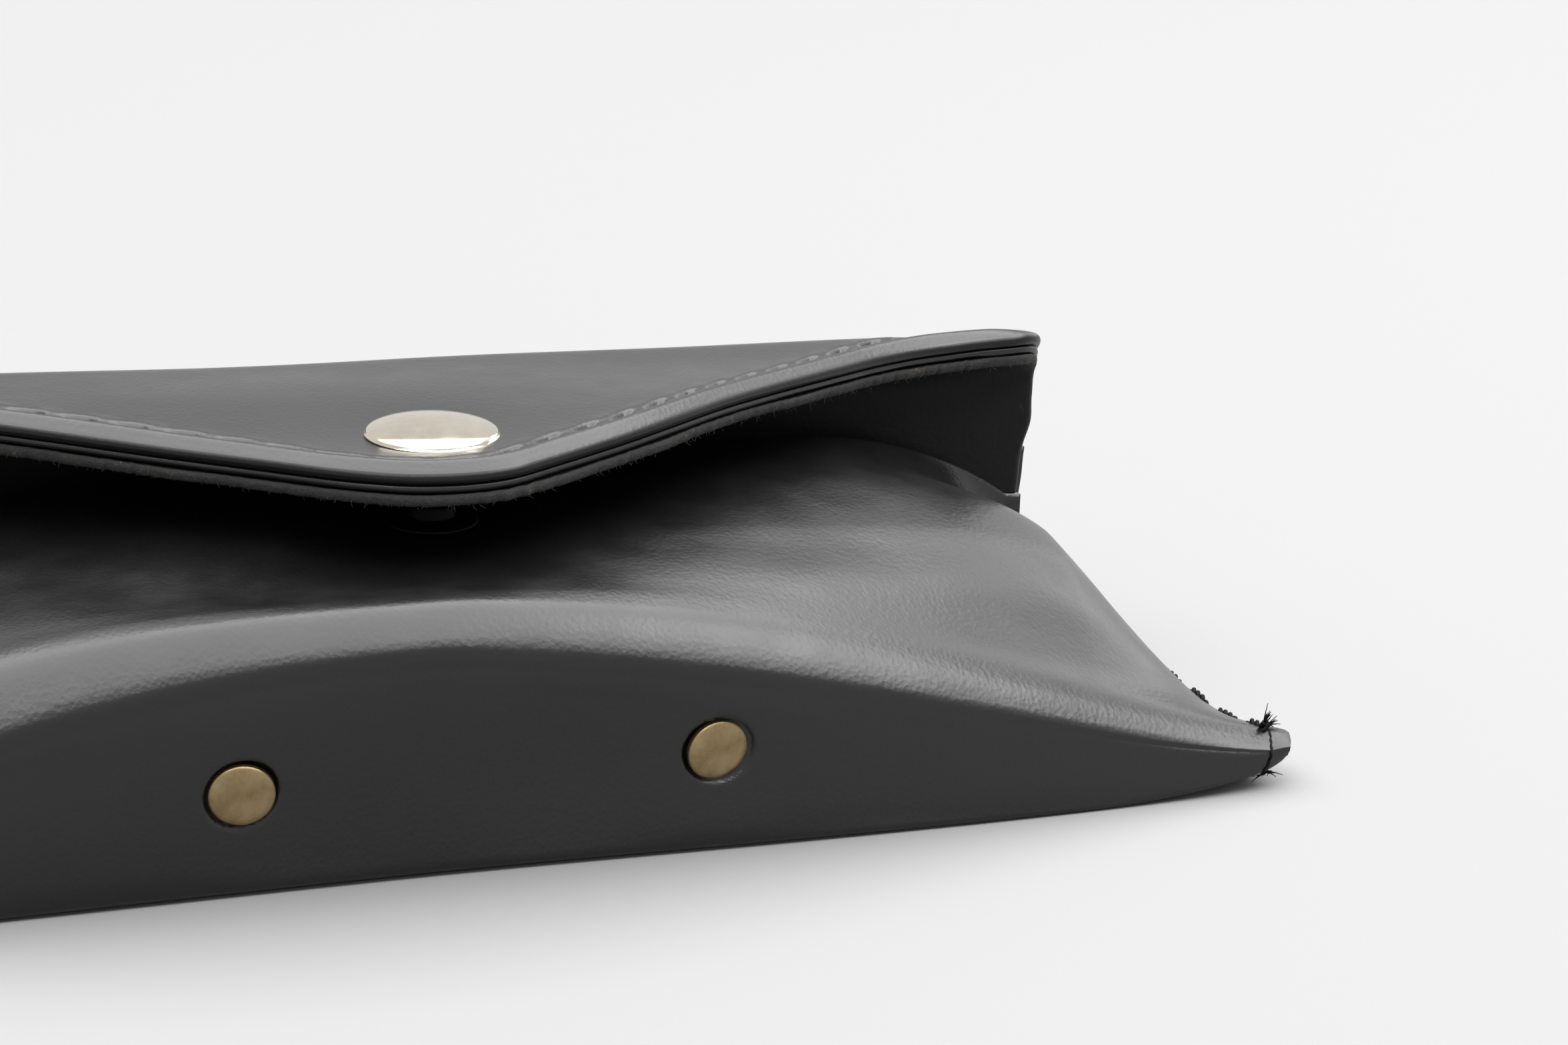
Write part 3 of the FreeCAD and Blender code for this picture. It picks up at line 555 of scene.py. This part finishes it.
class Strand:
    """Gathers tubes along paths, to be made into one mesh."""

    def __init__(self):
        self.points, self.faces = [], []

    def tube(self, path, radius, sides=6, taper=1.0):
        """Tube along a path of points; taper is the share of the radius left at its end."""
        path = np.asarray(path, dtype=float)
        run = np.gradient(path, axis=0)
        run /= np.maximum(np.linalg.norm(run, axis=1, keepdims=True), 1e-9)
        start = len(self.points)
        spare = np.array([0.31, 0.22, 0.93])
        for i, (centre, ahead) in enumerate(zip(path, run)):
            first = np.cross(ahead, spare)
            first /= np.linalg.norm(first)
            second = np.cross(ahead, first)
            size = radius * (1 + (taper - 1) * i / (len(path) - 1))
            for k in range(sides):
                angle = math.tau * k / sides
                rim = centre + size * (first * math.cos(angle) + second * math.sin(angle))
                self.points.append(tuple(rim * MM))
        for i in range(len(path) - 1):
            a, b = start + i * sides, start + (i + 1) * sides
            self.faces += [(a + k, a + (k + 1) % sides, b + (k + 1) % sides, b + k) for k in range(sides)]
        self.faces.append(tuple(start + k for k in range(sides))[::-1])
        self.faces.append(tuple(start + (len(path) - 1) * sides + k for k in range(sides)))

    def two_ply(self, path, radius, twist=1.7):
        """Two plies twisted round each other along a path."""
        path = np.asarray(path, dtype=float)
        fine = np.linspace(0, len(path) - 1, 7 * len(path))
        path = np.stack([np.interp(fine, np.arange(len(path)), path[:, k]) for k in range(3)], axis=1)
        steps = np.linalg.norm(np.diff(path, axis=0), axis=1)
        travel = np.concatenate([[0], np.cumsum(steps)])
        run = np.gradient(path, axis=0)
        run /= np.maximum(np.linalg.norm(run, axis=1, keepdims=True), 1e-9)
        first = np.cross(run, [0.31, 0.22, 0.93])
        first /= np.linalg.norm(first, axis=1, keepdims=True)
        second = np.cross(run, first)
        for ply in (0.0, math.pi):
            angle = (travel * math.tau / twist + ply)[:, None]
            self.tube(path + radius * 0.5 * (first * np.cos(angle) + second * np.sin(angle)), radius * 0.58)

    def tail(self, root, direction, length, seed, hairs=9):
        """A cut end of thread that opens into separate hairs."""
        draw = random.Random(seed)
        root, direction = np.array(root, dtype=float), np.array(direction, dtype=float)
        direction /= np.linalg.norm(direction)
        for _ in range(hairs):
            spread = np.array([draw.gauss(0, 0.33) for _ in range(3)])
            way = direction + spread
            bend = np.array([draw.gauss(0, 0.25) for _ in range(3)])
            reach = length * draw.uniform(0.55, 1.0)
            start = root + 0.12 * spread
            path = [start + way * reach * t + bend * reach * t * t for t in np.linspace(0, 1, 6)]
            self.tube(path, 0.09, sides=5, taper=0.35)

    def made(self, name, material):
        mesh = bpy.data.meshes.new(name)
        mesh.from_pydata(self.points, [], self.faces)
        mesh.shade_smooth()
        mesh.materials.append(material)
        item = bpy.data.objects.new(name, mesh)
        scene.collection.objects.link(item)
        return item


def flange_point(side, y, from_edge, over):
    """On the flange's upper face at a distance from its edge; over is height above it."""
    x = side * (half_width(y) - from_edge)
    face = hide[:crease_row - 2]
    nearest = np.argmin((face[..., 0] - x) ** 2 + (face[..., 1] - y) ** 2)
    return np.array([x, y, face[..., 2].flat[nearest] + over])


def from_edge_at(y):
    """How far in from the edge the side seam runs."""
    return 1.5 + 1.3 * math.exp(-max(y + 23.6, 0.0) / 5.0)


SEW_PITCH, SEW_LENGTH = 5.2, 3.6
SIDE_STITCHES, FIRST_STITCH_Y = 8, -23.4
for side, side_name in ((-1, "left"), (1, "right")):
    thread = Strand()
    for n in range(SIDE_STITCHES):
        stitch_start = FIRST_STITCH_Y + n * SEW_PITCH
        stitch = []
        for t in np.linspace(0, 1, 9):
            dip = -0.75 * abs(2 * t - 1) ** 4
            y = stitch_start + SEW_LENGTH * t
            stitch.append(flange_point(side, y, from_edge_at(y), 0.10 + dip))
        thread.two_ply(stitch, 0.4)
        under = []
        for point in stitch:
            low = float(underside(point[0], point[1])) + 0.05 - (point[2] - stitch[4][2])
            under.append(np.array([point[0], point[1], low]))
        thread.two_ply(under, 0.36)
    knot = flange_point(side, -23.2, 2.8, 0.0)
    thread.two_ply([knot + np.array([0, 0, -0.5]), knot, knot + np.array([side * 0.15, 0, 0.8])], 0.42)
    thread.tail(knot + np.array([side * 0.15, 0, 0.7]), (side * 0.35, -0.1, 1.0), 1.1, 7 + side, hairs=12)
    aside = knot + np.array([side * 0.9, 0.7, 0.0])
    thread.two_ply([knot, (knot + aside) / 2 + np.array([0, 0, 0.35]), aside + np.array([0, 0, 0.2])], 0.36)
    thread.tail(aside + np.array([0, 0, 0.15]), (side * 0.9, 0.1, 0.6), 1.1, 17 + side, hairs=10)
    foot = np.array([knot[0], -23.6, float(underside(knot[0])) - 0.1])
    thread.tail(foot + np.array([0, -1.2, -0.1]), (-side * 1.0, -0.2, 0.0), 1.5, 27 + side, hairs=10)
    thread.tail(foot + np.array([0, -1.2, -0.1]), (side * 1.0, -0.3, -0.05), 1.3, 37 + side, hairs=7)
    column = int(np.argmin(np.abs(hide[crease_row, :, 0] - knot[0])))
    face = hide[crease_row - 6:bottom_row + 1:3, column]
    wrap = np.vstack([[knot], face + np.array([0, -0.05, 0.03]), [foot + np.array([0, -1.0, 0.0])]])
    thread.two_ply(wrap, 0.15)
    seam = thread.made("seam_thread_" + side_name, waxed)
    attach(seam, "pouch")
    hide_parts("side_thread_" + side_name)

# ---------------------------------------------------------------- flap
# Three layers cut to a blunt V: black hide with a burnished, rounded edge, a thin core, and a
# lining leather left raw at its edge. They fold over the top of the back wall and are sewn
# round the V 3.4 mm in from the edge.
FOLD = 6.5
FOLD_Z = 28.2
FOLD_Y = DEPTH - FOLD
FLAP_HALF = 74.0
TIP_RADIUS, TIP_Y = 12.0, -14.8
SLANT, SLANT_LENGTH = math.radians(34.0), 52.0
SWEEP_RADIUS, RUN_OUT = 40.0, math.radians(6.0)
outline_x, outline_y = [], []
for angle in np.linspace(0.0, SLANT, 24):
    outline_x.append(TIP_RADIUS * math.sin(angle))
    outline_y.append(TIP_Y + TIP_RADIUS - TIP_RADIUS * math.cos(angle))
slant_x = outline_x[-1] + SLANT_LENGTH * math.cos(SLANT)
slant_y = outline_y[-1] + SLANT_LENGTH * math.sin(SLANT)
for angle in np.linspace(SLANT, RUN_OUT, 24):
    outline_x.append(slant_x + SWEEP_RADIUS * (math.sin(SLANT) - math.sin(angle)))
    outline_y.append(slant_y + SWEEP_RADIUS * (math.cos(angle) - math.cos(SLANT)))
outline_x.append(FLAP_HALF + 4.0)
outline_y.append(outline_y[-1] + (FLAP_HALF + 4.0 - outline_x[-2]) * math.tan(RUN_OUT))


def flap_edge(x):
    """The flap's front edge, a little fuller to the right of the snap, as cut by hand."""
    return np.interp(np.abs(x), outline_x, outline_y) - 1.3 * bell(x, 20.0, 11.0) - 1.2 * bell(x, -10.5, 6.0)


WALL_PATH = FOLD_Z - WALL_JOIN
FOLD_PATH = FOLD * math.pi / 2


def over_fold(x, s, deep):
    """Point at a distance along the flap from its join, at a depth below its outer face."""
    angle = np.clip((s - WALL_PATH) / FOLD, 0.0, math.pi / 2)
    level = WALL_JOIN + np.minimum(s, WALL_PATH)
    x = x * (1.003 - 0.0050 * deep) * wall_half(np.minimum(level, 27.0)) / FLAP_HALF
    y = FOLD_Y + (FOLD - deep) * np.cos(angle) - np.maximum(s - WALL_PATH - FOLD_PATH, 0.0)
    z = level + (FOLD - deep) * np.sin(angle)
    return np.stack([x + 0 * s, y, z], axis=-1)


flap_x = FLAP_HALF * spaced(381, 0.22)
CORNER = 5.0
past = np.clip((np.abs(flap_x) - FLAP_HALF + CORNER) / CORNER, 0.0, 1.0)
edge_y = flap_edge(flap_x) + CORNER * (1 - np.sqrt(1 - past**2))
edge_slope = np.clip(np.gradient(edge_y, flap_x), -1.4, 1.4)
edge_slope = np.convolve(np.pad(edge_slope, 4, mode="edge"), np.ones(9) / 9, mode="valid")
edge_stretch = np.sqrt(1 + edge_slope**2)
edge_s = WALL_PATH + FOLD_PATH + FOLD_Y - edge_y
edge_run = np.concatenate([[0], np.cumsum(np.diff(flap_x) * (edge_stretch[1:] + edge_stretch[:-1]) / 2)])
edge_run -= np.interp(0.0, flap_x, edge_run)
STITCH_IN = 3.4


def stitch_wave(run):
    """1 over the middle of each stitch, 0 between two stitches."""
    return ease(-0.55, 0.55, np.cos(math.tau * run / SEW_PITCH))


def carving(from_edge, run, x):
    """Height added to the hide near its edge: a full bead, then the sewn groove with its puckers."""
    bead = 0.46 * bell(from_edge, 1.9, 0.80)
    wander = STITCH_IN + 0.12 * np.sin(math.tau * run / SEW_PITCH)
    sewn = -(0.14 + 0.92 * stitch_wave(run)) * bell(from_edge, wander, 0.50)
    puckers = 0.07 * (1 - stitch_wave(run)) * bell(from_edge, STITCH_IN + 0.9, 0.8)
    reach = 1 - ease(66.0, 73.0, np.abs(x))
    return (bead + sewn + puckers) * reach


def settle(points):
    """The flap's own slack: it hangs lower at the fold to the right, and dips at the snap."""
    x, y, z = points[..., 0], points[..., 1], points[..., 2]
    sag = np.clip(0.4 + 0.022 * x, -0.5, 1.75) * ease(2.0, 20.0, y) * ease(WALL_JOIN, FOLD_Z, z)
    dip = 0.35 * bell(np.hypot(x, y + 2.5), 0.0, 7.5) * ease(30.0, 31.0, z)
    slack = 0.14 * lumps(x, y, 6, 30.0) * ease(28.0, 33.0, z) * (1 - ease(50.0, 70.0, np.abs(x)))
    points = points.copy()
    points[..., 2] = z - sag - dip + slack
    return points


def flap_layer(name, materials, top, bottom, back, soft_top, soft_bottom,
               start=0.0, shaped=None, ragged=None, dyed=12):
    """One layer between two depths, set back from the edge, with a rounded nose."""
    wide_top, tall_top = soft_top
    wide_bottom, tall_bottom = soft_bottom
    nose_curve = wide_top * (1 - np.sin(np.linspace(0, math.pi / 2, 12)))
    near = np.concatenate([np.linspace(7.0, wide_top, 26)[:-1], nose_curve])
    tucked = wide_bottom * (1 - np.cos(np.linspace(0, math.pi / 2, 7)))[1:]
    side_round = np.sqrt(np.clip(1 - np.clip((np.abs(flap_x) - FLAP_HALF + 0.7) / 0.7, 0, 1) ** 2, 0, 1))
    middle = (top + bottom) / 2
    slip = 0.0 if ragged is None else ragged
    upper_rows, lower_rows = [], []
    first_s = edge_s - (near[0] + back) * edge_stretch
    for share in np.linspace(0.0, 1.0, 70)[:-1]:
        s = start + (first_s - start) * share
        upper_rows.append(over_fold(flap_x, s, middle + (top - middle) * side_round))
        lower_rows.append(over_fold(flap_x, s, middle + (bottom - middle) * side_round))
    for reach in near:
        s = edge_s - (reach + back + slip) * edge_stretch
        gone = 1 - min(reach / wide_top, 1.0)
        deep = top + tall_top * (1 - math.sqrt(1 - gone**2))
        if shaped is not None:
            deep = deep - shaped(reach + back, edge_run, flap_x)
        upper_rows.append(over_fold(flap_x, s, middle + (deep - middle) * side_round))
        if reach > wide_bottom:
            lower_rows.append(over_fold(flap_x, s, middle + (bottom - middle) * side_round))
    for reach in tucked[::-1]:
        s = edge_s - (reach + back + slip) * edge_stretch
        gone = 1 - min(reach / wide_bottom, 1.0)
        deep = bottom - tall_bottom * (1 - math.sqrt(1 - gone**2))
        lower_rows.append(over_fold(flap_x, s, middle + (deep - middle) * side_round))
    rows = settle(np.array(upper_rows + lower_rows[::-1]))
    layer = grid_object(name, rows, materials[0], closed=True)
    if len(materials) > 1:
        layer.data.materials.append(materials[1])
        nose = range(len(upper_rows) - dyed, len(upper_rows) + 8)
        across_count = len(flap_x) - 1
        for face in layer.data.polygons:
            if face.index // across_count in nose:
                face.material_index = 1
    bake(layer, "WELD", merge_threshold=0.000004)
    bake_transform(layer)
    return layer


edge_dye, dye_tree, dye_shader = new_material("edge_dye")
dye_shader.inputs["Base Color"].default_value = (0.003, 0.003, 0.003, 1.0)
dye_shader.inputs["Roughness"].default_value = 0.33
dye_shader.inputs["Specular IOR Level"].default_value = 0.28
bump(dye_tree, dye_shader, noise(dye_tree, 1500.0, 4.0), 0.3, 0.1)
flap_leather = black_leather("flap_leather", -35.0, pale=0.005)
HIDE_FACES, CORE_FACES, LINING_FACES = (0.0, 1.45), (1.55, 2.35), (2.45, 3.50)
flap_hide = flap_layer("flap_hide", [flap_leather, edge_dye], *HIDE_FACES, 0.0, (1.7, 0.95), (0.4, 0.5),
                       shaped=carving, dyed=5)
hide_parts("flap_leather")

burnished, burnished_tree, burnished_shader = new_material("burnished_edge")
burnished_shader.inputs["Base Color"].default_value = (0.005, 0.005, 0.006, 1.0)
burnished_shader.inputs["Roughness"].default_value = 0.30
burnished_shader.inputs["Specular IOR Level"].default_value = 0.45
bump(burnished_tree, burnished_shader, noise(burnished_tree, 1800.0, 4.0), 0.3, 0.1)
BELOW_MOUTH = 14.5 - WALL_JOIN
flap_core = flap_layer("flap_core_layer", [burnished], *CORE_FACES, 0.28, (0.4, 0.4), (0.4, 0.4),
                       start=BELOW_MOUTH)
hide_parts("flap_core")

# the lining's cut edge is rough: fibres, nicks and a few tan specks where the dye never reached
raw, raw_tree, raw_shader = new_material("raw_lining_leather")
bare_spots = noise(raw_tree, 1300.0, 4.0, rough=0.7)
specks = ramp(raw_tree, bare_spots, [(0.63, (0.010, 0.0095, 0.009, 1)), (0.76, (0.16, 0.10, 0.05, 1))])
raw_tree.links.new(specks, raw_shader.inputs["Base Color"])
raw_shader.inputs["Roughness"].default_value = 0.8
bump(raw_tree, raw_shader, noise(raw_tree, 2400.0, 5.0, rough=0.7), 0.9, 0.25)
nicks = random.Random(12)
rough_cut = np.array([nicks.gauss(0, 1) for _ in flap_x])
slow_cut = np.convolve(np.pad(rough_cut, 5, mode="edge"), np.ones(11) / 11, mode="valid")
ragged = 0.07 * rough_cut + 0.28 * slow_cut
lining_face, lining_tree, lining_shader = new_material("lining_leather")
lining_shader.inputs["Base Color"].default_value = (0.003, 0.003, 0.003, 1.0)
lining_shader.inputs["Roughness"].default_value = 0.6
lining_shader.inputs["Specular IOR Level"].default_value = 0.18
bump(lining_tree, lining_shader, noise(lining_tree, 1700.0, 4.0), 0.4, 0.12)
flap_lining = flap_layer("flap_lining_layer", [lining_face, raw], *LINING_FACES, -0.05,
                         (0.35, 0.45), (0.3, 0.5), start=BELOW_MOUTH, ragged=ragged)
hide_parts("flap_lining")


def flap_point(run, from_edge, deep):
    """On the flap at a distance along its edge from the tip, in from the edge, and deep."""
    x = np.interp(run, edge_run, flap_x)
    s = np.interp(x, flap_x, edge_s) - from_edge * np.interp(x, flap_x, edge_stretch)
    return settle(over_fold(x, s, deep))


# loose fibres stand out of the lining's cut edge
fibres = Strand()
pick = random.Random(21)
FIBRES = 420
for _ in range(FIBRES):
    run = pick.uniform(edge_run[8], edge_run[-8])
    root = flap_point(run, pick.uniform(-0.1, 0.25), pick.uniform(2.9, 3.55))
    way = np.array([pick.gauss(0, 0.6), -0.8 + pick.gauss(0, 0.4), -0.5 + pick.gauss(0, 0.4)])
    reach = pick.uniform(0.15, 0.5)
    curl = np.array([pick.gauss(0, 0.3) for _ in range(3)])
    path = [root + way * reach * t + curl * reach * t * t for t in np.linspace(0, 1, 4)]
    fibres.tube(path, 0.03, sides=4, taper=0.4)
fibres = fibres.made("lining_fibres", raw)
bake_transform(fibres)

# ---------------------------------------------------------------- thread round the flap
# Two-ply black thread, saddle stitched; it shows as a short bar in each slot of the groove.
flap_thread = Strand()
SEW_ENDS, TOP_THREAD, UNDER_THREAD = 12.0, 0.84, 3.35
first_run, last_run = edge_run[0] + SEW_ENDS, edge_run[-1] - SEW_ENDS
for n in range(int(math.ceil(first_run / SEW_PITCH)), int(last_run / SEW_PITCH) + 1):
    middle_run = n * SEW_PITCH
    for deep, dive in ((TOP_THREAD, 1.0), (UNDER_THREAD, -1.0)):
        bar = []
        for t in np.linspace(-1, 1, 9):
            drop = 0.55 * abs(t) ** 4
            bar.append(flap_point(middle_run + t * SEW_LENGTH / 2, STITCH_IN + 0.12, deep + dive * drop))
        flap_thread.two_ply(bar, 0.34)
flap_sewing = flap_thread.made("flap_sewing", waxed)
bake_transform(flap_sewing)
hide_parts("flap_thread")

# ---------------------------------------------------------------- snap fastener
# A nickel ring snap: domed cap riveted through the flap to a socket with a spring ring, and a
# stud riveted through the front panel to an eyelet.
SNAP_Y = -2.5
CAP_SEAT, SOCKET_SEAT, SPRING_HEIGHT, STUD_HEIGHT = 34.40, 31.0, 29.2, 26.6
# painted shade: the socket, stud and eyelet get a near-black, dull metal so that they sink into the shadow
# under the flap
shade_black_metal = metal("black_nickel", (0.012, 0.012, 0.012, 1), (0.008, 0.008, 0.008, 1), 0.48, 0.6)
dome_turns = np.linspace(0.0, math.pi / 2, 26)
cap_dome = [(6.15 * math.sin(a), 0.42 + 0.98 * math.cos(a) ** 1.25) for a in dome_turns]
cap_profile = [(0, -0.1), (1.6, -0.1), (1.6, 0.05), (5.4, 0.05), (5.7, -0.28), (6.15, -0.22), (6.33, 0.1)]
cap_profile += [(r, z - 0.10) for r, z in cap_dome[::-1]][:-1] + [(0, 1.30)]
cap = turned("snap_cap_nickel", cap_profile, nickel, steps=128)
socket_profile = [(2.95, -0.9), (2.95, -2.5), (3.3, -2.75), (4.2, -2.75), (4.7, -2.3), (4.9, -0.8),
                  (5.4, -0.6), (5.4, 0.0), (1.62, 0.0), (1.62, -0.6), (2.7, -0.7)]
socket = turned("snap_socket_shade_black", socket_profile, shade_black_metal, round_by=0.12)
ring_turns = np.linspace(0, math.tau, 12, endpoint=False)
spring_profile = [(3.12 + 0.28 * math.cos(a), 0.28 * math.sin(a)) for a in ring_turns]
# the stud stands on the front panel, and its post reaches up into the socket
panel = hide[:crease_row]
seat = panel[..., 2].ravel()[np.argmin(np.hypot(panel[..., 0], panel[..., 1] - SNAP_Y))]
post = STUD_HEIGHT - seat
stud_profile = [(0, 0), (4.4, 0), (4.4, 0.25), (3.8, 0.55), (2.2, 0.6), (2.0, post + 1.6), (2.45, post + 2.3),
                (2.2, post + 2.85), (1.2, post + 2.95), (0, post + 2.7)]
stud = turned("snap_stud_shade_black", stud_profile, shade_black_metal, round_by=0.12)
eyelet_profile = [(0, 0), (4.5, 0), (4.8, 0.3), (4.8, 0.7), (1.6, 0.7), (1.6, 3.25), (0, 3.25)]
eyelet = turned("snap_eyelet_shade_black", eyelet_profile, shade_black_metal, round_by=0.1)
spring = turned("snap_spring_ring", spring_profile, nickel)
# the socket, stud and eyelet wear the near-black metal of painted shade
for piece, height, body, node, finish in (
        (cap, CAP_SEAT, "flap", "snap_cap", "nickel"),
        (socket, SOCKET_SEAT, "flap", "snap_socket", "black_nickel"),
        (spring, SPRING_HEIGHT, "flap", "snap_spring", "spring_steel"),
        (stud, seat, "pouch", "snap_stud", "black_nickel"),
        (eyelet, seat - 3.2, "pouch", "snap_eyelet", "black_nickel")):
    piece.matrix_world = Matrix.Translation(Vector((0, SNAP_Y, height)) * MM)
    bpy.context.view_layer.update()
    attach(piece, body)
    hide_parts(node)
